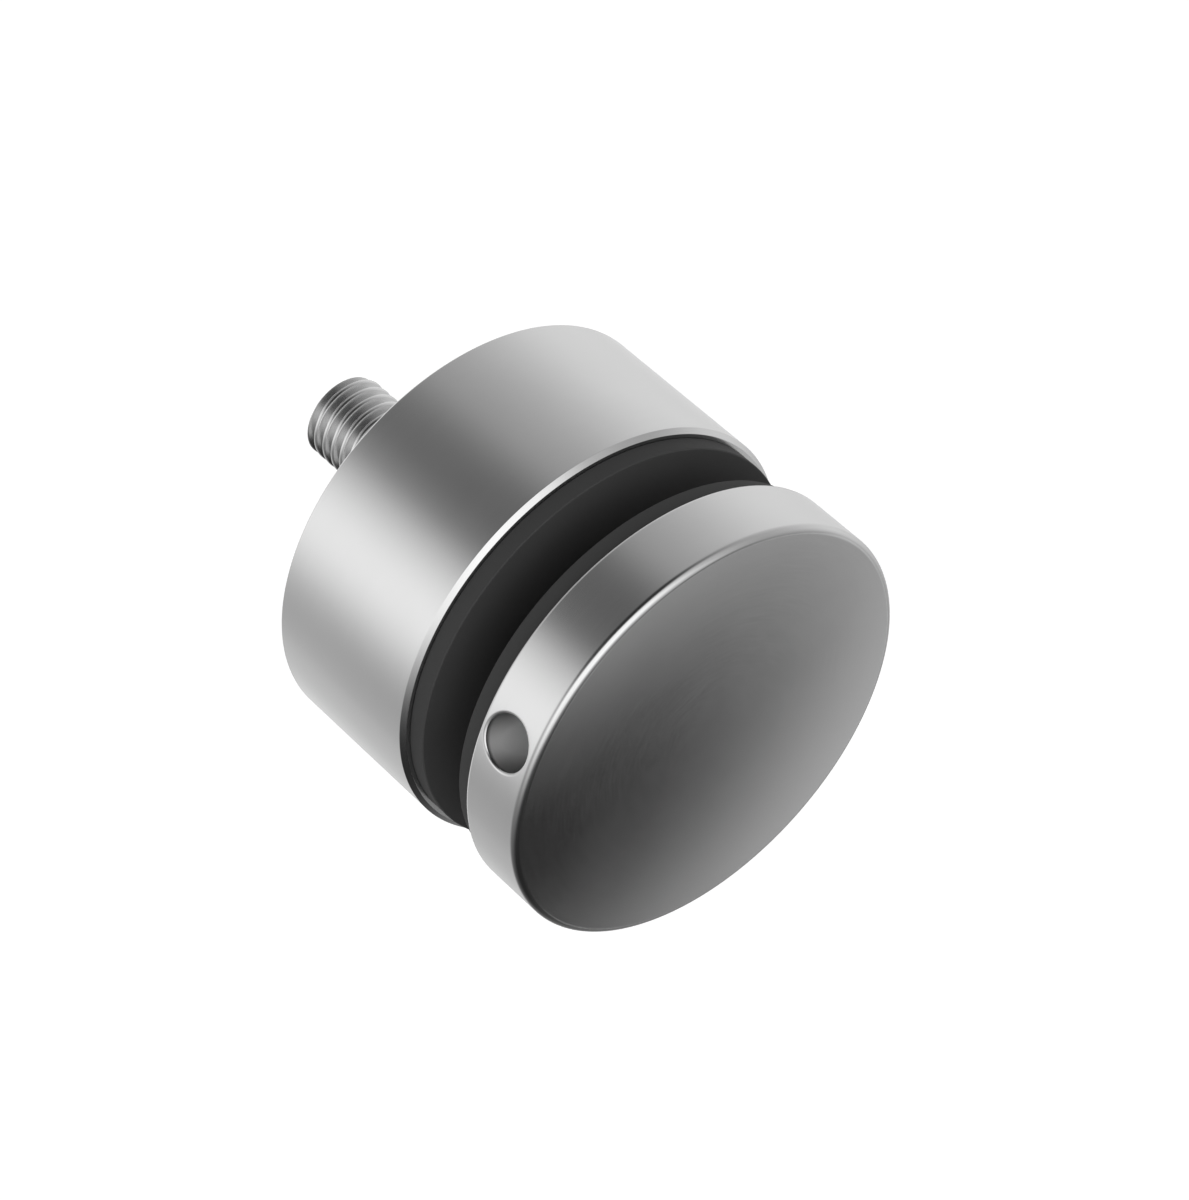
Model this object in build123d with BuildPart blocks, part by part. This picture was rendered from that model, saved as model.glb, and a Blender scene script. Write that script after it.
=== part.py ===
from build123d import *
import math
import os

# Point fixing for a glass panel: a round base on a wall stud, and a cap that clamps the glass to it.
# The origin is the middle of the base's back face, where it meets the wall. +Y points into the wall,
# along the wall stud, and +Z is up. Distances from the wall grow along -Y, towards the cap.

# Round bodies
body_diameter = 50.0
base_length = 20.8

# Gaskets and the glass between them
gasket_inset = 0.45
base_gasket_thickness = 2.1
cap_gasket_thickness = 2.3
glass_gap = 5.9

# Sleeve that the drilled glass sits on
sleeve_wall = 2.7
sleeve_end_gap = 0.8

# Metric thread that both studs have
thread_diameter = 10.0
thread_pitch = 1.5

# Studs
stud_projection = 22.6
wall_stud_engagement = 7.5
cap_stud_seat_depth = 5.5
stud_end_gap = 1.1

# Tommy-bar hole in the cap's rim, with the metal left on each side of it
rim_hole_diameter = 6.0
rim_hole_front_wall = 1.2
rim_hole_back_wall = 0.8
rim_hole_depth = 9.0
rim_hole_angle = 155.2
drill_point_angle = 118.0

# Broken edges
cap_front_fillet = 0.7
cap_back_chamfer = 0.25
base_front_chamfer = 0.5
base_back_chamfer = 0.25
gasket_edge_chamfer = 0.1
sleeve_edge_chamfer = 0.4
rim_hole_fillet = 0.4
stud_end_chamfer = 0.4
thread_mouth_chamfer = 0.5

# Clearances, each on the radius
thread_clearance = 0.05
sleeve_clearance = 0.3
gasket_clearance = 0.3

# Sizes that follow
body_radius = body_diameter / 2
thread_radius = thread_diameter / 2
rim_hole_radius = rim_hole_diameter / 2
cap_thickness = rim_hole_front_wall + rim_hole_diameter + rim_hole_back_wall
gasket_radius = body_radius - base_front_chamfer - gasket_inset
sleeve_bore_radius = thread_radius + sleeve_clearance
sleeve_radius = sleeve_bore_radius + sleeve_wall
gasket_bore_radius = sleeve_radius + gasket_clearance

# Threads are plain here: at the outer radius where they are free, and where two threads engage
# at the pitch line, half-way up their flanks. On a metric thread that line lies three eighths of
# the sharp profile's height inside the crest.
sharp_thread_height = math.sqrt(3) / 2 * thread_pitch
pitch_radius = thread_radius - 3 / 8 * sharp_thread_height
thread_hole_radius = pitch_radius + thread_clearance
thread_mouth_radius = thread_radius + thread_mouth_chamfer

# Distances from the wall
base_face = base_length
base_gasket_face = base_face + base_gasket_thickness
cap_gasket_face = base_gasket_face + glass_gap
cap_back = cap_gasket_face + cap_gasket_thickness
rim_hole_distance = cap_back + rim_hole_back_wall + rim_hole_radius
sleeve_tip = base_face + sleeve_end_gap
cap_stud_tip = wall_stud_engagement + stud_end_gap

# This plane lies on the wall and faces the cap
wall = Plane.XZ


def circles_of(shape, radius):
    """The circular edges of one radius, from the cap's side to the wall's side."""
    circles = shape.edges().filter_by(GeomType.CIRCLE)
    return circles.filter_by(lambda edge: math.isclose(edge.radius, radius)).sort_by(Axis.Y)


def gasket(distance, thickness):
    """A flat rubber ring that starts at that distance from the wall, with both outer edges eased."""
    with BuildPart() as ring:
        with BuildSketch(wall.offset(distance)):
            Circle(gasket_radius)
            Circle(gasket_bore_radius, mode=Mode.SUBTRACT)
        extrude(amount=thickness)
        chamfer(circles_of(ring, gasket_radius), gasket_edge_chamfer)
    return ring


# Base: a solid turned cylinder, tapped right through for the two studs
with BuildPart() as base:
    with BuildSketch(wall):
        Circle(body_radius)
        Circle(thread_hole_radius, mode=Mode.SUBTRACT)
    extrude(amount=base_length)
    front_edge, back_edge = circles_of(base, body_radius)
    chamfer(front_edge, base_front_chamfer)
    chamfer(back_edge, base_back_chamfer)
    chamfer(circles_of(base, thread_hole_radius), thread_mouth_radius - thread_hole_radius)
base.part.label = "base"

# Wall stud: its free length goes into the wall, and its other end is screwed into the base
with BuildPart() as wall_stud:
    with BuildSketch(wall):
        Circle(thread_radius)
    extrude(amount=-stud_projection)
    with BuildSketch(wall):
        Circle(pitch_radius)
    extrude(amount=wall_stud_engagement)
    chamfer(circles_of(wall_stud, thread_radius)[-1], stud_end_chamfer)
    chamfer(circles_of(wall_stud, pitch_radius)[0], stud_end_chamfer)
wall_stud.part.label = "wall_stud"

# Gaskets: one on the base's front face, the other on the cap's back face
base_gasket = gasket(base_face, base_gasket_thickness)
base_gasket.part.label = "base_gasket"
cap_gasket = gasket(cap_gasket_face, cap_gasket_thickness)
cap_gasket.part.label = "cap_gasket"

# Glass sleeve: a bush from the cap's back face through both gaskets, short of the base
with BuildPart() as glass_sleeve:
    with BuildSketch(wall.offset(sleeve_tip)):
        Circle(sleeve_radius)
        Circle(sleeve_bore_radius, mode=Mode.SUBTRACT)
    extrude(amount=cap_back - sleeve_tip)
    chamfer(circles_of(glass_sleeve, sleeve_radius), sleeve_edge_chamfer)
glass_sleeve.part.label = "glass_sleeve"

# Cap: a turned disc with a blind tapped hole behind and a drilled hole in its rim,
# whose direction is turned from +X towards +Z
rim_direction = Vector(1, 0, 0).rotate(Axis.Y, -rim_hole_angle)
rim_point = rim_direction * body_radius + Vector(0, -rim_hole_distance, 0)
rim_plane = Plane(origin=rim_point, z_dir=rim_direction)
drill_point_depth = rim_hole_radius / math.tan(math.radians(drill_point_angle / 2))
with BuildPart() as cap:
    with BuildSketch(wall.offset(cap_back)):
        Circle(body_radius)
    extrude(amount=cap_thickness)
    front_edge, back_edge = circles_of(cap, body_radius)
    fillet(front_edge, cap_front_fillet)
    chamfer(back_edge, cap_back_chamfer)
    with BuildSketch(wall.offset(cap_back)):
        Circle(thread_hole_radius)
    extrude(amount=cap_stud_seat_depth, mode=Mode.SUBTRACT)
    with Locations(rim_plane):
        Hole(rim_hole_radius, depth=rim_hole_depth)
    with Locations(rim_plane.offset(-rim_hole_depth)):
        point_inwards = (Align.CENTER, Align.CENTER, Align.MAX)
        Cone(0, rim_hole_radius, drill_point_depth, align=point_inwards, mode=Mode.SUBTRACT)
    rim_hole_mouth = cap.edges().filter_by(GeomType.BSPLINE)
    fillet(rim_hole_mouth, rim_hole_fillet)
cap.part.label = "cap"

# Cap stud: seated in the cap, free in the sleeve, and screwed into the base
with BuildPart() as cap_stud:
    with BuildSketch(wall.offset(cap_stud_tip)):
        Circle(pitch_radius)
    extrude(amount=cap_back + cap_stud_seat_depth - cap_stud_tip)
    with BuildSketch(wall.offset(sleeve_tip)):
        Circle(thread_radius)
    extrude(amount=cap_back - sleeve_tip)
    chamfer(circles_of(cap_stud, pitch_radius)[-1], stud_end_chamfer)
cap_stud.part.label = "cap_stud"

os.makedirs("parts", exist_ok=True)
export_step(base.part, "parts/base.step")
export_step(wall_stud.part, "parts/wall_stud.step")
export_step(base_gasket.part, "parts/base_gasket.step")
export_step(cap_gasket.part, "parts/cap_gasket.step")
export_step(glass_sleeve.part, "parts/glass_sleeve.step")
export_step(cap.part, "parts/cap.step")
export_step(cap_stud.part, "parts/cap_stud.step")
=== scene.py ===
import functools
import math

import bmesh
import bpy
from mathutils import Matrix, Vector


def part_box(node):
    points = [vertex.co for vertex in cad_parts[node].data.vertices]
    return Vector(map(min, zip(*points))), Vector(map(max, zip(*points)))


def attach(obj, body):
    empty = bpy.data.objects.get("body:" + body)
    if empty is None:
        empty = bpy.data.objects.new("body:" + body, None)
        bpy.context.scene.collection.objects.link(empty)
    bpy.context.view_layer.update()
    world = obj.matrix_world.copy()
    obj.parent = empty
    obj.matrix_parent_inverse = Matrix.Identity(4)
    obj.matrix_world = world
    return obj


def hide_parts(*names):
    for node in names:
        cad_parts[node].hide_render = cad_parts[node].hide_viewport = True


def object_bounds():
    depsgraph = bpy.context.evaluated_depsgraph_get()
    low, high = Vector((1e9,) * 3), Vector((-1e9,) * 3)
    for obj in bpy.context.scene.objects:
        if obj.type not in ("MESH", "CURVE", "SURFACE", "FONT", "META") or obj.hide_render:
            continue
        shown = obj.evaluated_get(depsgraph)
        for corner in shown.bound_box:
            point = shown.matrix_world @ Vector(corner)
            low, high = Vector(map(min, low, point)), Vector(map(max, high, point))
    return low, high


# A glass point fixing: turned satin steel base and cap, two black gaskets, a plastic sleeve round
# the cap stud, and a threaded stud that goes into the wall. The wall lies at Y = 0 and the cap
# faces -Y. "Distance" below is a length from the wall towards the cap. Sizes are in mm, apart from
# those that a Blender object takes.

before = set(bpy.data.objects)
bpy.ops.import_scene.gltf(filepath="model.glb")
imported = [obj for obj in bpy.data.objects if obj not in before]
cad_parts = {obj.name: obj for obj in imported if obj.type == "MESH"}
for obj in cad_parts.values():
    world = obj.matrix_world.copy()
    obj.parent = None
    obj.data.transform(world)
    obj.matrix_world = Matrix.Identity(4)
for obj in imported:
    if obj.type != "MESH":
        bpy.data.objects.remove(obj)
cad_low, cad_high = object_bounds()

MM = 0.001

# Too small to count, in any unit used here
TINY = 1e-6

# Camera, fitted to the round edges and the outline in the photograph
VIEW_AZIMUTH = math.radians(-39.118)
VIEW_ELEVATION = math.radians(45.076)
VIEW_DISTANCE = 482.49 * MM
VIEW_TARGET = Vector((1.394, -19.1, 2.890)) * MM
SENSOR = 36.0
LENS = 140.01
CLIP_NEAR = 0.01
CLIP_FAR = 100

# Metric thread of both studs, with a slightly crowned crest. The crest's corners are given by
# their place along Y from its middle, their drop below the outer radius and their ease. A crest
# passes each stud's CREST_ANGLE, from +X towards +Z, at the stud's CREST place on Y.
THREAD_PITCH = 1.5
THREAD_DEPTH = 0.8
THREAD_FLANK = math.radians(30)
THREAD_CREST = [(-0.216, 0.098, 0.06), (-0.02, -0.015, 0.65), (0.21, 0.005, 0.05)]
THREAD_ROOT_EASE = 0.10
THREAD_STEPS = 96
WALL_STUD_CREST = 21.257
WALL_STUD_CREST_ANGLE = math.radians(70)
CAP_STUD_CREST = -15.0
CAP_STUD_CREST_ANGLE = 0.0
STUD_END_CHAMFER = 0.4

# Broken edges, as in the CAD source or within 0.1 mm of it, and the small rounding of each of
# their corners, its ease
BASE_FRONT_CHAMFER = 0.5
BASE_BACK_CHAMFER = 0.25
CAP_FRONT_FILLET = 0.8
CAP_BACK_CHAMFER = 0.25
GASKET_CHAMFER = 0.1
THREAD_MOUTH = 0.5
EDGE_EASE = 0.06
BACK_EDGE_EASE = 0.12
GASKET_EASE = 0.05
BORE_EASE = 0.05

# A profile has a point this far beside a rounding, a tighter rounding than WORN_EASE counts as an
# edge that wears bright, and points closer than SEAM become one
HOLD = 0.05
WORN_EASE = 0.3
SEAM = 0.0005

# Clearances on the radius, as in the CAD source
THREAD_CLEARANCE = 0.05
SLEEVE_CLEARANCE = 0.3

# Hole in the cap's rim, with its angle from +X towards +Z. The lip rounds the first part of the
# turn into the hole and then breaks off.
RIM_HOLE_RADIUS = 3.0
RIM_HOLE_DEPTH = 9.0
RIM_HOLE_BACK_WALL = 0.8
RIM_HOLE_ANGLE = math.radians(155.2)
RIM_HOLE_EASE = 0.45
RIM_HOLE_EASE_TURN = math.radians(50)
RIM_HOLE_EASE_STEPS = 10
DRILL_POINT = math.radians(118)

# Painted light and shade on the hole's wall: a value that makes the wall's colour lighter and the wall
# less metallic, most at PAINTED_LIGHT_TURN round the hole's axis and opposite it, least between them,
# and more with depth. PAINTED_LIGHT_AT_MOUTH holds at MOUTH_DEPTH.
PAINTED_LIGHT_TURN = math.radians(140)
PAINTED_LIGHT_LEAST = 0.12
PAINTED_LIGHT_AT_MOUTH = 0.65
PAINTED_LIGHT_AT_FLOOR = 1.5
PAINTED_LIGHT_AT_POINT = 1.0
MOUTH_DEPTH = 0.8

# Facets. The rim hole lies in a patch of the rim that spans PATCH_HALF_STEPS to each side of it,
# has PATCH_ROWS along the cap's axis, and passes the hole's lip by PATCH_MARGIN along that axis.
TURNED_STEPS = 720
GASKET_STEPS = 360
EASE_STEP = math.radians(9)
PATCH_HALF_STEPS = 18
PATCH_ROWS = 24
PATCH_MARGIN = 0.03

# The studio round the object, at level STUDIO_FILL where nothing else is. Each light and flag has
# the angle from straight in front of the cap, the clock angle from +X towards +Z and its half width
# along each of these, all in degrees, then its softness and its strength. A light adds its
# strength, and a flag holds back that share of all the light.
STUDIO_FILL = 0.29
LIGHTS = {
    "key over the cap": (40, 135, 44, 45, 0.46, 1.3),
    "strip behind on the left": (123, 169, 22, 23, 0.88, 1.05),
    "wall on the right": (126, 2, 54, 40, 0.89, 0.7),
    "panel on the right": (74, -12, 20, 23, 0.7, 0.26),
    "low light behind": (140, 262, 22, 32, 0.7, 0.78),
    "front": (4, 76, 33, 33, 0.2, 0.5),
}
FLAGS = {
    "below in front": (53, 252, 55, 36, 0.59, 0.91),
    "above": (101, 109, 29, 32, 0.25, 0.65),
    "edge of the key": (90, 104, 21, 40, 0.5, 0.84),
}

# Graded card, CARD_GAP in front of the cap, which gives its flat face the soft shading of the
# photograph. Its span is left, right, low and high from the point that the middle of that face
# mirrors. Its level grows as the square of the distance from a dark spot, along squashed and skewed
# ovals: it would be 1 at CARD_REACH, less CARD_DIP, and it holds at CARD_TOP. On its left side it
# fades to CARD_LEFT_LEVEL.
CARD_GAP = 45.0
CARD_SPAN = (-50.0, 52.0, -50.0, 38.0)
CARD_LEFT_FADE = (-37.0, -24.0)
CARD_LEFT_LEVEL = 0.035
CARD_DARK_SPOT = (-16.5, -8.7)
CARD_SQUASH = 1.3
CARD_SKEW = -0.676
CARD_REACH = 62.6
CARD_DIP = 0.0194
CARD_TOP = 0.85

# Floor, in metres, well below the object. It glows for the camera alone, so that it looks white.
FLOOR_DROP = 0.3
FLOOR_HALF = 3.0
FLOOR_SCALE = 6.0
FLOOR_SHADES = (0.78, 0.82)
FLOOR_ROUGHNESS = 0.7
FLOOR_GLOW = 0.55

WHITE = (1, 1, 1, 1)

# Finishes. A noise has its scale in cells for each metre, and counts in full from its usual low to
# its usual high. A tone is a share of the way from the darker shade to the lighter one, a sway is
# how far the noise carries the roughness each way, and a relief is its strength and depth in mm.
FINE_NOISE = (0.25, 0.75)
NOISE = (0.3, 0.7)

# Each steel has a shade and a roughness. STEEL_SHADES are its darker and lighter shades from there.
TURNED_STEEL = (0.60, 0.20)
# The thread steel's shade is its own, lifted with painted light against the shade between the thread's
# flanks
THREAD_STEEL_WITH_PAINTED_LIGHT = (0.64, 0.24)
STEEL_SHADES = (-0.01, 0.05)
GRAIN_SCALE = 4200.0
GRAIN_SWAY = 0.012
LINES_ALONG = 5200.0
LINES_ROUND = 5.0
LINES_TONE = 0.2
LINES_SWAY = 0.010
MARKS_SCALE = 90.0
MARKS_TONE = 0.35
MARKS_SWAY = 0.008
WEAR_SCALE = 700.0
WEAR_NOISE = (0.35, 0.6)
WEAR_LEAST = 0.5
WEAR_TONE = 0.45
WEAR_ROUGHNESS = -0.03
STEEL_RELIEF = (0.06, 0.02)
GRAIN_SHARE = 0.6
LINES_SHARE = 0.4

# Painted shade and light of the hole's wall: its shades over that range of its painted value, and how
# the wall differs from the rest
PAINTED_HOLE_RANGE = (0.05, 0.8)
PAINTED_HOLE_SHADES = (0.15, 0.9)
DRILLED_ROUGHNESS = 0.32
DRILLED_METAL_LOSS = 0.6

RUBBER_SHADES = (0.054, 0.066)
RUBBER_ROUGHNESS = (0.62, 0.70)
RUBBER_SPECULAR = 0.15
RUBBER_RELIEF = (0.25, 0.04)
RUBBED_TONE = 0.3
PORES_SCALE = 3000.0
PORES_TONE = 0.15
PORES_SWAY = 0.03
BLOOM_SCALE = 160.0
BLOOM_TONE = 0.4

PLASTIC_SHADES = (0.030, 0.050)
PLASTIC_ROUGHNESS = (0.40, 0.50)
PLASTIC_RELIEF = (0.3, 0.05)
SPARK_SCALE = 2400.0
FLOW_SCALE = 220.0
FLOW_SWAY = 0.03


@functools.cache
def cad(node):
    """A round node's outer radius, its far and near distance from the wall."""
    low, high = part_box(node)
    return (high.z - low.z) / 2 / MM, -low.y / MM, -high.y / MM


def thread_radius():
    return cad("wall_stud")[0]


def thread_hole_radius():
    """The radius of the plain holes that stand for the tapped ones."""
    sharp_height = math.sqrt(3) / 2 * THREAD_PITCH
    return thread_radius() - 3 / 8 * sharp_height + THREAD_CLEARANCE


def place(radius, distance, angle):
    """The point at that radius, distance from the wall and angle from +X towards +Z."""
    return Vector((radius * math.cos(angle), -distance, radius * math.sin(angle))) * MM


def rounding_reach(corners, i):
    """How far the rounding of that corner reaches along each of its two sides."""
    count = len(corners)
    before, here, after = [Vector(corners[k % count][:2]) for k in (i - 1, i, i + 1)]
    ease = corners[i % count][2]
    return ease / math.tan((before - here).angle(after - here) / 2) if ease else 0.0


def eased(corners):
    """The profile through corners (radius, distance, ease) with each corner rounded by its ease.

    Its points are (radius, distance, edge), where edge is 1 on a tight rounding, which wear would
    brighten, and 0 elsewhere. A point is held close beside each rounding where there is room, so
    that flat faces keep their shading flat.
    """
    points = []
    count = len(corners)
    for i, (r, d, ease) in enumerate(corners):
        here = Vector((r, d))
        if not ease:
            points.append((r, d, 0.0))
            continue
        before = Vector(corners[i - 1][:2]) - here
        after = Vector(corners[(i + 1) % count][:2]) - here
        u, v = before.normalized(), after.normalized()
        reach = rounding_reach(corners, i)
        centre = here + (u + v).normalized() * math.hypot(reach, ease)
        start, end = here + u * reach - centre, here + v * reach - centre
        turn = start.angle_signed(end)
        steps = max(2, math.ceil(abs(turn) / EASE_STEP))
        edge = float(ease < WORN_EASE)
        if before.length - reach - rounding_reach(corners, i - 1) > 2 * HOLD:
            points.append((*(here + u * (reach + HOLD)), 0.0))
        for k in range(steps + 1):
            c, s = math.cos(turn * k / steps), math.sin(turn * k / steps)
            x, y = start.x * c + start.y * s, start.y * c - start.x * s
            points.append((centre.x + x, centre.y + y, edge))
        if after.length - reach - rounding_reach(corners, i + 1) > 2 * HOLD:
            points.append((*(here + v * (reach + HOLD)), 0.0))
    return points


def new_mesh():
    """An empty bmesh whose vertices hold an edge value and a drilled value.

    Edge is 1 on an edge that wears bright. The second value is above 0 only inside the rim hole, whose
    wall is rougher, and there it is painted light and shade: a higher value makes the wall lighter in
    colour and less metallic.
    """
    bm = bmesh.new()
    bm.verts.layers.float.new("edge")
    bm.verts.layers.float.new("drilled")
    return bm


def vertex(bm, co, edge=0.0, drilled=0.0):
    made = bm.verts.new(co)
    made[bm.verts.layers.float["edge"]] = edge
    made[bm.verts.layers.float["drilled"]] = drilled
    return made


def new_piece(name, bm, body, node, material):
    """Makes the mesh an object that rides on its body and stands for its CAD node."""
    loose = [vert for vert in bm.verts if not vert.link_faces]
    bmesh.ops.delete(bm, geom=loose, context="VERTS")
    bmesh.ops.recalc_face_normals(bm, faces=bm.faces)
    for face in bm.faces:
        face.smooth = True
    mesh = bpy.data.meshes.new(name)
    bm.to_mesh(mesh)
    bm.free()
    mesh.materials.append(material)
    piece = bpy.data.objects.new(name, mesh)
    bpy.context.scene.collection.objects.link(piece)
    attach(piece, body)
    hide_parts(node)
    return piece


def ring(bm, radius, distance, edge, steps):
    """The vertices of one ring, or the one vertex on the axis."""
    if radius == 0:
        return [vertex(bm, place(0, distance, 0), edge)]
    return [vertex(bm, place(radius, distance, 2 * math.pi * i / steps), edge) for i in range(steps)]


def join_rings(bm, a, b, skip=()):
    """Faces between two rings, apart from the steps in skip."""
    steps = max(len(a), len(b))
    for i in range(steps):
        if i in skip:
            continue
        j = (i + 1) % steps
        if len(a) == 1:
            bm.faces.new((a[0], b[j], b[i]))
        elif len(b) == 1:
            bm.faces.new((a[i], a[j], b[0]))
        else:
            bm.faces.new((a[i], a[j], b[j], b[i]))


def turned_ring(corners, steps):
    """A closed ring of revolution through eased corners."""
    bm = new_mesh()
    rings = [ring(bm, *point, steps) for point in eased(corners)]
    for a, b in zip(rings, rings[1:] + rings[:1]):
        join_rings(bm, a, b)
    return bm


def make_base(material):
    """Thick turned base, tapped right through, with a countersunk mouth for a stud at each end."""
    radius, far, near = cad("base")
    hole = thread_hole_radius()
    mouth = thread_radius() + THREAD_MOUTH
    rise = mouth - hole
    front, back = BASE_FRONT_CHAMFER, BASE_BACK_CHAMFER
    corners = [
        (hole, near + rise, 0),
        (mouth, near, EDGE_EASE),
        (radius - back, near, BACK_EDGE_EASE),
        (radius, near + back, BACK_EDGE_EASE),
        (radius, far - front, EDGE_EASE),
        (radius - front, far, EDGE_EASE),
        (mouth, far, EDGE_EASE),
        (hole, far - rise, 0),
    ]
    bm = turned_ring(corners, TURNED_STEPS)
    return new_piece("base_body", bm, "wall_side", "base", material)


def make_gasket(node, body, material):
    """Flat rubber ring with soft edges."""
    radius, far, near = cad(node)
    bore = cad("glass_sleeve")[0] + SLEEVE_CLEARANCE
    c = GASKET_CHAMFER
    corners = [
        (bore, near, BORE_EASE),
        (radius - c, near, GASKET_EASE),
        (radius, near + c, GASKET_EASE),
        (radius, far - c, GASKET_EASE),
        (radius - c, far, GASKET_EASE),
        (bore, far, BORE_EASE),
    ]
    bm = turned_ring(corners, GASKET_STEPS)
    return new_piece(node + "_ring", bm, body, node, material)


def thread_profile(crest_radius):
    """One pitch of the thread as (place along Y, radius, edge), from one root's middle to the next."""
    low = crest_radius - THREAD_DEPTH
    crest = [(offset, crest_radius - drop, ease) for offset, drop, ease in THREAD_CREST]
    front = crest[0][0] - (crest[0][1] - low) * math.tan(THREAD_FLANK)
    back = crest[-1][0] + (crest[-1][1] - low) * math.tan(THREAD_FLANK)
    root = (front + back - THREAD_PITCH) / 2
    corners = [(root, low, 0), (front, low, THREAD_ROOT_EASE), *crest]
    corners += [(back, low, THREAD_ROOT_EASE), (root + THREAD_PITCH, low, 0)]
    middle = crest_radius - THREAD_DEPTH / 2
    points = eased(corners)[:-1]
    return [(offset, radius, edge if radius > middle else 0.0) for offset, radius, edge in points]


def thread(crest_radius, start, end, crest, crest_angle):
    """A right-hand thread between two places on Y, in mm, with square, chamfered ends.

    It is laid out flat at first: the turn along X, the place on Y, and the radius along Z. Both
    cuts of an end are planes there. Then it is rolled up.
    """
    bm = new_mesh()
    profile = thread_profile(crest_radius)
    first = -math.ceil((crest - start) / THREAD_PITCH) - 1
    last = math.ceil((end - crest) / THREAD_PITCH) + 2
    columns = []
    for i in range(THREAD_STEPS + 1):
        turn = i / THREAD_STEPS
        columns.append([
            vertex(bm, (turn, crest + THREAD_PITCH * (k - turn) + offset, radius), edge)
            for k in range(first, last + 1)
            for offset, radius, edge in profile
        ])
    for a, b in zip(columns, columns[1:]):
        for k in range(len(a) - 1):
            bm.faces.new((a[k], b[k], b[k + 1], a[k + 1]))
    for y, outward in ((start, -1), (end, 1)):
        cut(bm, (0, y, 0), (0, outward, 0), clear_outer=True)
        chamfer_end(bm, crest_radius - STUD_END_CHAMFER, y, outward)
    for vert in bm.verts:
        turn, y, radius = vert.co
        vert.co = place(radius, -y, crest_angle + 2 * math.pi * turn)
    bmesh.ops.remove_doubles(bm, verts=bm.verts, dist=SEAM * MM)
    for y in (start, end):
        close_end(bm, y * MM)
    return bm


def close_end(bm, y):
    """Fills the open end of the rolled-up thread at that place on Y with a flat face."""

    def is_rim(edge):
        return edge.is_boundary and all(abs(vert.co.y - y) < SEAM * MM for vert in edge.verts)

    rim = [edge for edge in bm.edges if is_rim(edge)]
    bmesh.ops.contextual_create(bm, geom=rim)
    for edge in rim:
        edge.smooth = False


def cut(bm, point, normal, clear_outer=False):
    """Cuts the mesh along a plane, and gives the new edges."""
    everything = bm.verts[:] + bm.edges[:] + bm.faces[:]
    made = bmesh.ops.bisect_plane(
        bm, geom=everything, dist=TINY, plane_co=point, plane_no=normal, clear_outer=clear_outer
    )
    return [part for part in made["geom_cut"] if isinstance(part, bmesh.types.BMEdge)]


def chamfer_end(bm, end_radius, y, outward):
    """Lowers the flat layout's thread to the slope that ends at that radius and place on Y."""
    for edge in cut(bm, (0, y, end_radius), (0, outward, 1)):
        edge.smooth = False
    for vert in bm.verts:
        slope = end_radius + abs(y - vert.co.y)
        vert.co.z = min(vert.co.z, slope)


def make_wall_stud(material):
    """Threaded stud: free behind the base, and screwed into its mouth."""
    radius, far, near = cad("wall_stud")
    bm = thread(radius, -far, -near, WALL_STUD_CREST, WALL_STUD_CREST_ANGLE)
    return new_piece("wall_stud_thread", bm, "wall_side", "wall_stud", material)


def make_cap_stud(material):
    """Threaded stud from inside the cap, through the sleeve, into the base."""
    radius, far, near = cad("cap_stud")
    bm = thread(radius, -far, -near, CAP_STUD_CREST, CAP_STUD_CREST_ANGLE)
    return new_piece("cap_stud_thread", bm, "cap_side", "cap_stud", material)


def rim_hole_distance():
    return cad("cap")[2] + RIM_HOLE_BACK_WALL + RIM_HOLE_RADIUS


def rim_hole_across():
    """The direction across the rim hole and round the cap."""
    return Vector((-math.sin(RIM_HOLE_ANGLE), 0, math.cos(RIM_HOLE_ANGLE)))


def rim_hole_spot(rho, turn, height):
    """The point at that radius and turn round the rim hole's axis, and that far from the cap's axis."""
    outward = Vector((math.cos(RIM_HOLE_ANGLE), 0, math.sin(RIM_HOLE_ANGLE)))
    ahead = Vector((0, -1, 0))
    spot = outward * height + rim_hole_across() * rho * math.sin(turn)
    return (spot + ahead * (rim_hole_distance() + rho * math.cos(turn))) * MM


def rim_hole_polar(co):
    """A point's turn and radius round the rim hole's axis, the inverse of rim_hole_spot."""
    sideways = co.dot(rim_hole_across()) / MM
    ahead = -co.y / MM - rim_hole_distance()
    return math.atan2(sideways, ahead), math.hypot(sideways, ahead)


def painted_light_by_turn(turn):
    """How much of its depth's painted light the hole's wall has at that turn: painted light and shade,
    lightest at two opposite turns.
    """
    return PAINTED_LIGHT_LEAST + (1 - PAINTED_LIGHT_LEAST) * math.cos(turn - PAINTED_LIGHT_TURN) ** 2


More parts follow.
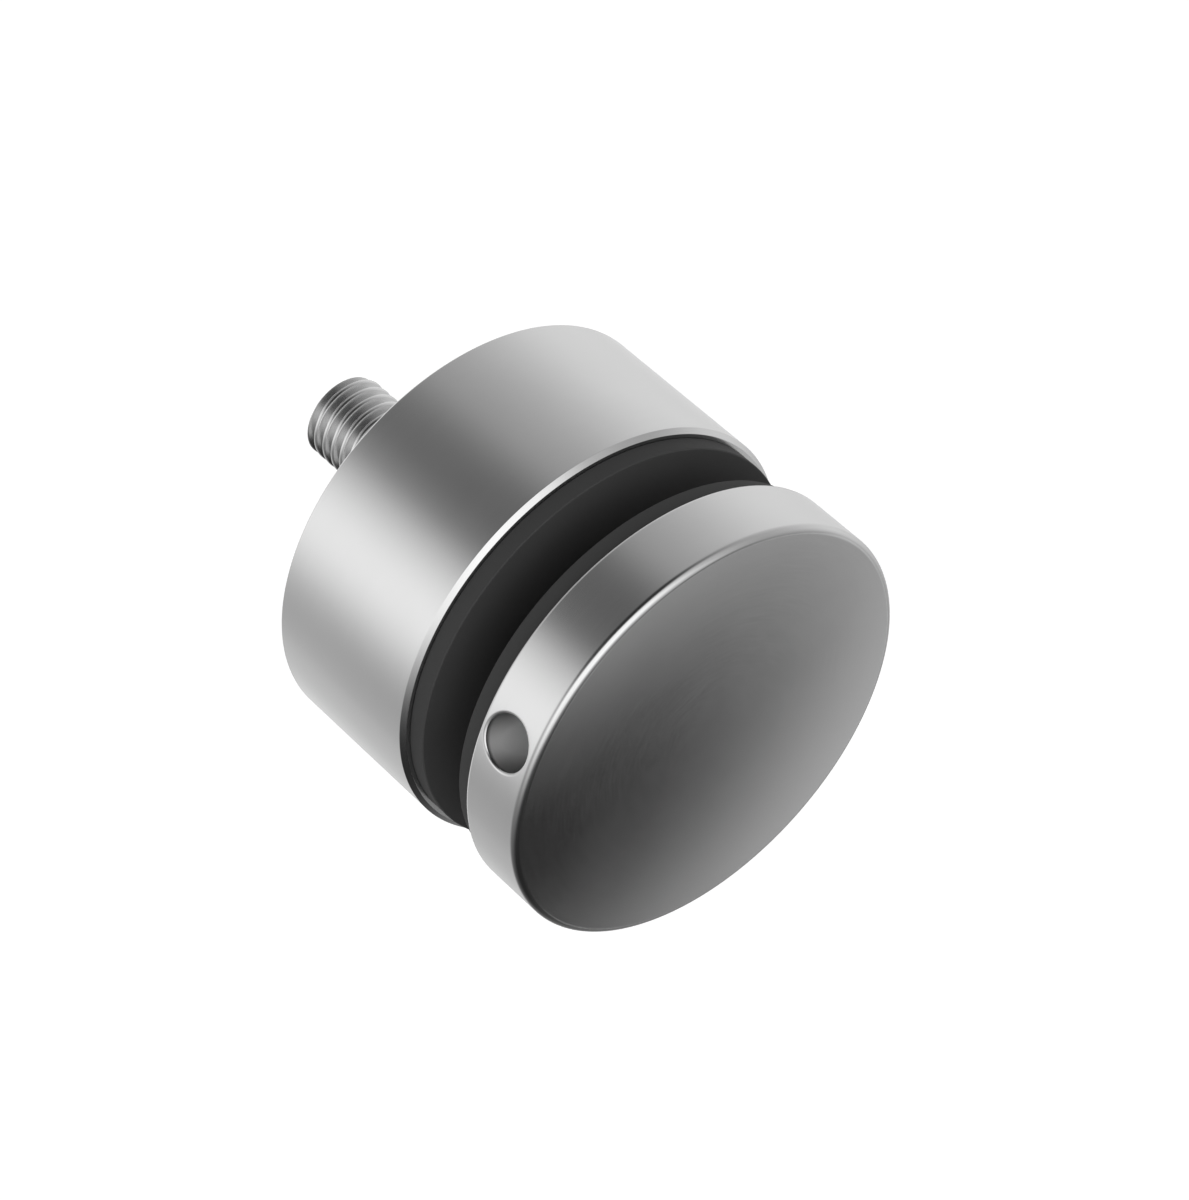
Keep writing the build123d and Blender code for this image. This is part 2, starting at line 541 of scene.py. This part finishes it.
def drill_rim_hole(bm, border, radius):
    """Fills the gap inside the border, in the rim, with the hole: its eased lip, wall and point."""
    spots = [rim_hole_polar(vert.co) for vert in border]

    def surface(rho, turn):
        return math.sqrt(radius**2 - (rho * math.sin(turn)) ** 2)

    def loop(rhos, drop):
        return [
            vertex(bm, rim_hole_spot(rho, turn, surface(rho, turn) - drop))
            for rho, (turn, _) in zip(rhos, spots)
        ]

    mouth = RIM_HOLE_RADIUS + RIM_HOLE_EASE * math.sin(RIM_HOLE_EASE_TURN)
    loops = [border, loop([(rho + mouth) / 2 for _, rho in spots], 0)]
    for k in range(RIM_HOLE_EASE_STEPS + 1):
        a = RIM_HOLE_EASE_TURN * k / RIM_HOLE_EASE_STEPS
        rho = mouth - RIM_HOLE_EASE * math.sin(a)
        loops.append(loop([rho] * len(spots), RIM_HOLE_EASE * (1 - math.cos(a))))
    lip = loops[-1]
    floor = radius - RIM_HOLE_DEPTH
    # The wall's rows carry painted light and shade, lighter with depth and by turn round the hole
    rows = (radius - MOUTH_DEPTH, PAINTED_LIGHT_AT_MOUTH), (floor + HOLD, PAINTED_LIGHT_AT_FLOOR), (floor, PAINTED_LIGHT_AT_FLOOR)
    for height, painted_light in rows:
        loops.append([
            vertex(bm, rim_hole_spot(RIM_HOLE_RADIUS, turn, height), drilled=painted_light * painted_light_by_turn(turn))
            for turn, _ in spots
        ])
    tip_height = floor - RIM_HOLE_RADIUS / math.tan(DRILL_POINT / 2)
    loops.append([vertex(bm, rim_hole_spot(0, 0, tip_height), drilled=PAINTED_LIGHT_AT_POINT)])
    for a, b in zip(loops, loops[1:]):
        join_rings(bm, a, b)
    for a, b in zip(lip, lip[1:] + lip[:1]):
        bm.edges.get((a, b)).smooth = False


def make_cap(material):
    """Turned disc with a blind hole for the stud behind, and a drilled hole in its rim."""
    radius, far, near = cad("cap")
    hole = thread_hole_radius()
    stud_seat = cad("cap_stud")[1]
    reach = RIM_HOLE_RADIUS + RIM_HOLE_EASE * math.sin(RIM_HOLE_EASE_TURN) + PATCH_MARGIN
    back_row, front_row = rim_hole_distance() - reach, rim_hole_distance() + reach
    behind = [
        (0, stud_seat, 0),
        (hole, stud_seat, 0),
        (hole, near, 0),
        (radius - CAP_BACK_CHAMFER, near, BACK_EDGE_EASE),
        (radius, near + CAP_BACK_CHAMFER, 0),
    ]
    ahead = [(radius, front_row, 0), (radius, far, CAP_FRONT_FILLET), (0, far, 0)]
    bm = new_mesh()
    steps = TURNED_STEPS
    middle = round(RIM_HOLE_ANGLE / (2 * math.pi) * steps)
    span = [(middle + k) % steps for k in range(-PATCH_HALF_STEPS, PATCH_HALF_STEPS + 1)]
    spacing = (front_row - back_row) / PATCH_ROWS
    rings = [ring(bm, *point, steps) for point in eased(behind)]
    rows = [ring(bm, radius, back_row + spacing * k, 0.0, steps) for k in range(PATCH_ROWS + 1)]
    tail = [ring(bm, *point, steps) for point in eased(ahead)[1:]]
    for a, b in zip(rings, rings[1:] + rows[:1]):
        join_rings(bm, a, b)
    for a, b in zip(rows, rows[1:]):
        join_rings(bm, a, b, skip=span[:-1])
    for a, b in zip(rows[-1:] + tail, tail):
        join_rings(bm, a, b)
    # The gap's border, once round it
    border = [rows[0][i] for i in span]
    border += [row[span[-1]] for row in rows[1:]]
    border += [rows[-1][i] for i in reversed(span[:-1])]
    border += [row[span[0]] for row in reversed(rows[1:-1])]
    drill_rim_hole(bm, border, radius)
    return new_piece("cap_body", bm, "cap_side", "cap", material)


def add(tree, kind, inputs=None, **settings):
    """Adds a node. Inputs are given by name or number, each as a value or as the socket to link."""
    made = tree.nodes.new(kind)
    for key, value in settings.items():
        setattr(made, key, value)
    for key, value in (inputs or {}).items():
        if isinstance(value, bpy.types.NodeSocket):
            tree.links.new(value, made.inputs[key])
        else:
            made.inputs[key].default_value = value
    return made


def calc(tree, operation, *values):
    """The result of a Math node."""
    return add(tree, "ShaderNodeMath", dict(enumerate(values)), operation=operation).outputs[0]


def remap(tree, value, low, high, new_low, new_high, smooth=False):
    """The value, taken from one range to another and held inside it."""
    inputs = {"Value": value, "From Min": low, "From Max": high, "To Min": new_low, "To Max": new_high}
    kind = "SMOOTHSTEP" if smooth else "LINEAR"
    return add(tree, "ShaderNodeMapRange", inputs, interpolation_type=kind).outputs["Result"]


def tone_of(tree, value, tone):
    """A noise as a share of the way between two shades."""
    return remap(tree, value, *NOISE, 0.0, tone)


def sway(tree, value, reach, middle=0.0, usual=NOISE):
    """A noise as a change of roughness by that reach each way, round a middle."""
    return remap(tree, value, *usual, middle - reach, middle + reach)


def total(tree, *values):
    result = values[0]
    for value in values[1:]:
        result = calc(tree, "ADD", result, value)
    return result


def noise(tree, vector, scale, detail=2.0, w=None):
    """Noise from 0 to 1, in four dimensions where w is given."""
    inputs = {"Vector": vector, "Scale": scale, "Detail": detail}
    if w is None:
        return add(tree, "ShaderNodeTexNoise", inputs).outputs["Fac"]
    inputs["W"] = w
    return add(tree, "ShaderNodeTexNoise", inputs, noise_dimensions="4D").outputs["Fac"]


def greys(tree, value, low, high):
    """A grey between two shades, by a value from 0 to 1."""
    shades = {6: (low, low, low, 1), 7: (high, high, high, 1), 0: value}
    return add(tree, "ShaderNodeMix", shades, data_type="RGBA").outputs[2]


def attribute(tree, name):
    """A value that the vertices hold."""
    return add(tree, "ShaderNodeAttribute", attribute_name=name).outputs["Fac"]


def relief(tree, shader, height, strength, depth):
    """Gives the shader a fine relief of that strength and depth in mm."""
    inputs = {"Strength": strength, "Distance": depth * MM, "Height": height}
    bump = add(tree, "ShaderNodeBump", inputs)
    tree.links.new(bump.outputs["Normal"], shader.inputs["Normal"])


def new_material(name):
    """A material, its node tree, its shader and the object's own coordinates."""
    material = bpy.data.materials.new(name)
    material.use_nodes = True
    tree = material.node_tree
    coordinates = tree.nodes.new("ShaderNodeTexCoord").outputs["Object"]
    return material, tree, tree.nodes["Principled BSDF"], coordinates


def lathe_noise(tree, coordinates, along, round_axis):
    """Noise as a turning tool leaves it: fine along the profile and long round the Y axis."""
    x, y, z = add(tree, "ShaderNodeSeparateXYZ", {0: coordinates}).outputs
    squares = total(tree, calc(tree, "MULTIPLY", x, x), calc(tree, "MULTIPLY", z, z))
    radius = calc(tree, "SQRT", squares)
    inverse = calc(tree, "DIVIDE", round_axis, calc(tree, "MAXIMUM", radius, TINY))
    parts = {
        0: calc(tree, "MULTIPLY", x, inverse),
        1: calc(tree, "MULTIPLY", y, along),
        2: calc(tree, "MULTIPLY", z, inverse),
    }
    vector = add(tree, "ShaderNodeCombineXYZ", parts).outputs[0]
    return noise(tree, vector, 1.0, detail=3.0, w=calc(tree, "MULTIPLY", radius, along))


def satin_steel(name, shade, roughness):
    """Turned stainless steel with a satin grain, faint handling marks and brighter worn edges.

    A wall in the rim hole is rougher, and its colour is painted light and shade by its painted value,
    which also makes it less metallic.
    """
    material, tree, shader, coordinates = new_material(name)
    grain = noise(tree, coordinates, GRAIN_SCALE)
    lines = lathe_noise(tree, coordinates, LINES_ALONG, LINES_ROUND)
    marks = noise(tree, coordinates, MARKS_SCALE, detail=4.0)
    wear = remap(tree, noise(tree, coordinates, WEAR_SCALE), *WEAR_NOISE, WEAR_LEAST, 1.0)
    worn = calc(tree, "MULTIPLY", attribute(tree, "edge"), wear)
    drilled = attribute(tree, "drilled")
    in_hole = remap(tree, drilled, 0.0, PAINTED_HOLE_RANGE[0], 0.0, 1.0)
    tone = total(
        tree,
        tone_of(tree, marks, MARKS_TONE),
        tone_of(tree, lines, LINES_TONE),
        calc(tree, "MULTIPLY", worn, WEAR_TONE),
    )
    turned = greys(tree, tone, *[shade + change for change in STEEL_SHADES])
    # Painted light and shade: the hole's wall takes its colour from its painted value
    painted_hole_colour = remap(tree, drilled, *PAINTED_HOLE_RANGE, *PAINTED_HOLE_SHADES)
    colour = add(tree, "ShaderNodeMix", {0: in_hole, 6: turned, 7: painted_hole_colour}, data_type="RGBA").outputs[2]
    tree.links.new(colour, shader.inputs["Base Color"])
    rough = total(
        tree,
        sway(tree, grain, GRAIN_SWAY, roughness, FINE_NOISE),
        sway(tree, lines, LINES_SWAY, usual=FINE_NOISE),
        sway(tree, marks, MARKS_SWAY),
        calc(tree, "MULTIPLY", worn, WEAR_ROUGHNESS),
        calc(tree, "MULTIPLY", in_hole, DRILLED_ROUGHNESS),
    )
    tree.links.new(rough, shader.inputs["Roughness"])
    grain_height = calc(tree, "MULTIPLY", grain, GRAIN_SHARE)
    lines_height = calc(tree, "MULTIPLY", lines, LINES_SHARE)
    relief(tree, shader, total(tree, grain_height, lines_height), *STEEL_RELIEF)
    metal = calc(tree, "MULTIPLY_ADD", drilled, -DRILLED_METAL_LOSS, 1.0)
    tree.links.new(metal, shader.inputs["Metallic"])
    return material


def black_rubber(name):
    """Matt moulded rubber: a fine dry surface, slightly greyer where its edges are rubbed."""
    material, tree, shader, coordinates = new_material(name)
    pores = noise(tree, coordinates, PORES_SCALE, detail=3.0)
    bloom = noise(tree, coordinates, BLOOM_SCALE, detail=4.0)
    tone = total(
        tree,
        tone_of(tree, bloom, BLOOM_TONE),
        tone_of(tree, pores, PORES_TONE),
        calc(tree, "MULTIPLY", attribute(tree, "edge"), RUBBED_TONE),
    )
    tree.links.new(greys(tree, tone, *RUBBER_SHADES), shader.inputs["Base Color"])
    shader.inputs["Specular IOR Level"].default_value = RUBBER_SPECULAR
    blotches = remap(tree, bloom, *NOISE, *RUBBER_ROUGHNESS)
    rough = calc(tree, "ADD", blotches, sway(tree, pores, PORES_SWAY))
    tree.links.new(rough, shader.inputs["Roughness"])
    relief(tree, shader, pores, *RUBBER_RELIEF)
    return material


def moulded_plastic(name):
    """Dark moulded plastic with a fine spark-eroded texture."""
    material, tree, shader, coordinates = new_material(name)
    spark = noise(tree, coordinates, SPARK_SCALE, detail=4.0)
    flow = noise(tree, coordinates, FLOW_SCALE, detail=3.0)
    tree.links.new(greys(tree, flow, *PLASTIC_SHADES), shader.inputs["Base Color"])
    pitted = remap(tree, spark, *NOISE, *PLASTIC_ROUGHNESS)
    rough = calc(tree, "ADD", pitted, sway(tree, flow, FLOW_SWAY))
    tree.links.new(rough, shader.inputs["Roughness"])
    relief(tree, shader, spark, *PLASTIC_RELIEF)
    return material


def dot(tree, vector, constant):
    inputs = {0: vector, 1: constant}
    return add(tree, "ShaderNodeVectorMath", inputs, operation="DOT_PRODUCT").outputs["Value"]


def soft_shape(tree, direction, off_axis, clock, half_out, half_round, softness):
    """1 inside an oval part of the studio, falling softly to 0 at its edge."""
    t, p = math.radians(off_axis), math.radians(clock)
    middle = Vector((math.sin(t) * math.cos(p), -math.cos(t), math.sin(t) * math.sin(p)))
    out = Vector((math.cos(t) * math.cos(p), math.sin(t), math.cos(t) * math.sin(p)))
    around = Vector((-math.sin(p), 0, math.cos(p)))
    a = dot(tree, direction, out / math.sin(math.radians(half_out)))
    b = dot(tree, direction, around / math.sin(math.radians(half_round)))
    reach = calc(tree, "SQRT", total(tree, calc(tree, "MULTIPLY", a, a), calc(tree, "MULTIPLY", b, b)))
    shape = remap(tree, reach, 1 - softness, 1 + softness, 1.0, 0.0, smooth=True)
    ahead = calc(tree, "GREATER_THAN", dot(tree, direction, middle), 0.0)
    return calc(tree, "MULTIPLY", shape, ahead)


def make_studio():
    """Soft lights and dark flags round the object. The camera itself sees a white background."""
    world = bpy.data.worlds.new("studio")
    world.use_nodes = True
    tree = world.node_tree
    direction = tree.nodes.new("ShaderNodeTexCoord").outputs["Generated"]
    level = STUDIO_FILL
    for *shape, strength in LIGHTS.values():
        level = calc(tree, "MULTIPLY_ADD", soft_shape(tree, direction, *shape), strength, level)
    for *shape, share in FLAGS.values():
        passed = calc(tree, "MULTIPLY_ADD", soft_shape(tree, direction, *shape), -share, 1.0)
        level = calc(tree, "MULTIPLY", level, passed)
    studio = tree.nodes["Background"]
    studio.inputs["Color"].default_value = WHITE
    tree.links.new(level, studio.inputs["Strength"])
    white = add(tree, "ShaderNodeBackground", {"Color": WHITE, "Strength": 1.0})
    camera_ray = tree.nodes.new("ShaderNodeLightPath").outputs["Is Camera Ray"]
    mix = add(tree, "ShaderNodeMixShader", {0: camera_ray, 1: studio.outputs[0], 2: white.outputs[0]})
    tree.links.new(mix.outputs[0], tree.nodes["World Output"].inputs["Surface"])
    bpy.context.scene.world = world


def rectangle(name, corners, material):
    """A flat four-sided object for the stage."""
    mesh = bpy.data.meshes.new(name)
    mesh.from_pydata(corners, [], [(0, 1, 2, 3)])
    mesh.materials.append(material)
    made = bpy.data.objects.new(name, mesh)
    bpy.context.scene.collection.objects.link(made)
    return made


def card_material():
    """Light that is darkest at one spot of the card and grows up, down and to the right of it."""
    material = bpy.data.materials.new("graded_card")
    material.use_nodes = True
    tree = material.node_tree
    tree.nodes.remove(tree.nodes["Principled BSDF"])
    coordinates = tree.nodes.new("ShaderNodeTexCoord").outputs["Object"]
    x, _, z = add(tree, "ShaderNodeSeparateXYZ", {0: coordinates}).outputs
    spot_x, spot_z = CARD_DARK_SPOT
    a = calc(tree, "MAXIMUM", calc(tree, "MULTIPLY_ADD", x, 1 / MM, -spot_x), 0.0)
    b = calc(tree, "MULTIPLY_ADD", z, CARD_SQUASH / MM, -spot_z * CARD_SQUASH)
    skewed = calc(tree, "MULTIPLY", a, calc(tree, "MULTIPLY_ADD", b, CARD_SKEW, a))
    squares = calc(tree, "MULTIPLY_ADD", b, b, skewed)
    grade = calc(tree, "MULTIPLY_ADD", squares, CARD_REACH**-2, -CARD_DIP)
    level = remap(tree, grade, 0.0, CARD_TOP, 0.0, CARD_TOP)
    dark, light = [edge * MM for edge in CARD_LEFT_FADE]
    fade = remap(tree, x, dark, light, 0.0, 1.0, smooth=True)
    strip = calc(tree, "MULTIPLY_ADD", fade, -CARD_LEFT_LEVEL, CARD_LEFT_LEVEL)
    level = calc(tree, "MULTIPLY_ADD", level, fade, strip)
    emission = add(tree, "ShaderNodeEmission", {"Color": WHITE, "Strength": level})
    tree.links.new(emission.outputs[0], tree.nodes["Material Output"].inputs["Surface"])
    return material


def make_card():
    """The graded card, parallel to the cap's face, where the camera sees that face mirror it."""
    _, far, _ = cad("cap")
    face = Vector((0, -far, 0)) * MM
    back = camera_direction()
    mirrored = Vector((-back.x, back.y, -back.z))
    centre = face + mirrored * (CARD_GAP * MM / -mirrored.y)
    left, right, low, high = [edge * MM for edge in CARD_SPAN]
    corners = [(left, 0, low), (right, 0, low), (right, 0, high), (left, 0, high)]
    card = rectangle("graded_card", corners, card_material())
    card.location = centre
    card.visible_camera = False
    card.visible_diffuse = False
    card.visible_shadow = False


def make_floor():
    """Pale floor, well below the object, which looks white and still takes a shadow."""
    material, tree, shader, coordinates = new_material("pale_floor")
    mottle = noise(tree, coordinates, FLOOR_SCALE, detail=4.0)
    tree.links.new(greys(tree, mottle, *FLOOR_SHADES), shader.inputs["Base Color"])
    shader.inputs["Roughness"].default_value = FLOOR_ROUGHNESS
    white = add(tree, "ShaderNodeEmission", {"Color": WHITE, "Strength": FLOOR_GLOW})
    camera_ray = tree.nodes.new("ShaderNodeLightPath").outputs["Is Camera Ray"]
    unlit = add(tree, "ShaderNodeEmission", {"Strength": 0.0})
    lift = add(tree, "ShaderNodeMixShader", {0: camera_ray, 1: unlit.outputs[0], 2: white.outputs[0]})
    both = add(tree, "ShaderNodeAddShader", {0: shader.outputs[0], 1: lift.outputs[0]})
    tree.links.new(both.outputs[0], tree.nodes["Material Output"].inputs["Surface"])
    z = cad_low.z - FLOOR_DROP
    h = FLOOR_HALF
    floor = rectangle("pale_floor", [(-h, -h, z), (h, -h, z), (h, h, z), (-h, h, z)], material)
    floor.visible_glossy = False


def camera_direction():
    """From the object to the camera."""
    a, e = VIEW_AZIMUTH, VIEW_ELEVATION
    return Vector((math.sin(a) * math.cos(e), -math.cos(a) * math.cos(e), math.sin(e)))


def make_camera():
    data = bpy.data.cameras.new("camera")
    data.lens = LENS
    data.sensor_width = SENSOR
    data.clip_start = CLIP_NEAR
    data.clip_end = CLIP_FAR
    camera = bpy.data.objects.new("camera", data)
    bpy.context.scene.collection.objects.link(camera)
    camera.location = VIEW_TARGET + camera_direction() * VIEW_DISTANCE
    camera.rotation_mode = "QUATERNION"
    camera.rotation_quaternion = (-camera_direction()).to_track_quat("-Z", "Y")
    bpy.context.scene.camera = camera


turned_steel = satin_steel("turned_steel", *TURNED_STEEL)
# Thread steel, its shade lifted with painted light
thread_steel = satin_steel("thread_steel", *THREAD_STEEL_WITH_PAINTED_LIGHT)
gasket_rubber = black_rubber("gasket_rubber")
sleeve_plastic = moulded_plastic("sleeve_plastic")

make_base(turned_steel)
make_cap(turned_steel)
make_wall_stud(thread_steel)
make_cap_stud(thread_steel)
make_gasket("base_gasket", "wall_side", gasket_rubber)
make_gasket("cap_gasket", "glass_seal", gasket_rubber)
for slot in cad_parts["glass_sleeve"].material_slots:
    slot.material = sleeve_plastic

make_camera()
make_studio()
make_card()
make_floor()
bpy.context.scene.view_settings.view_transform = "Standard"
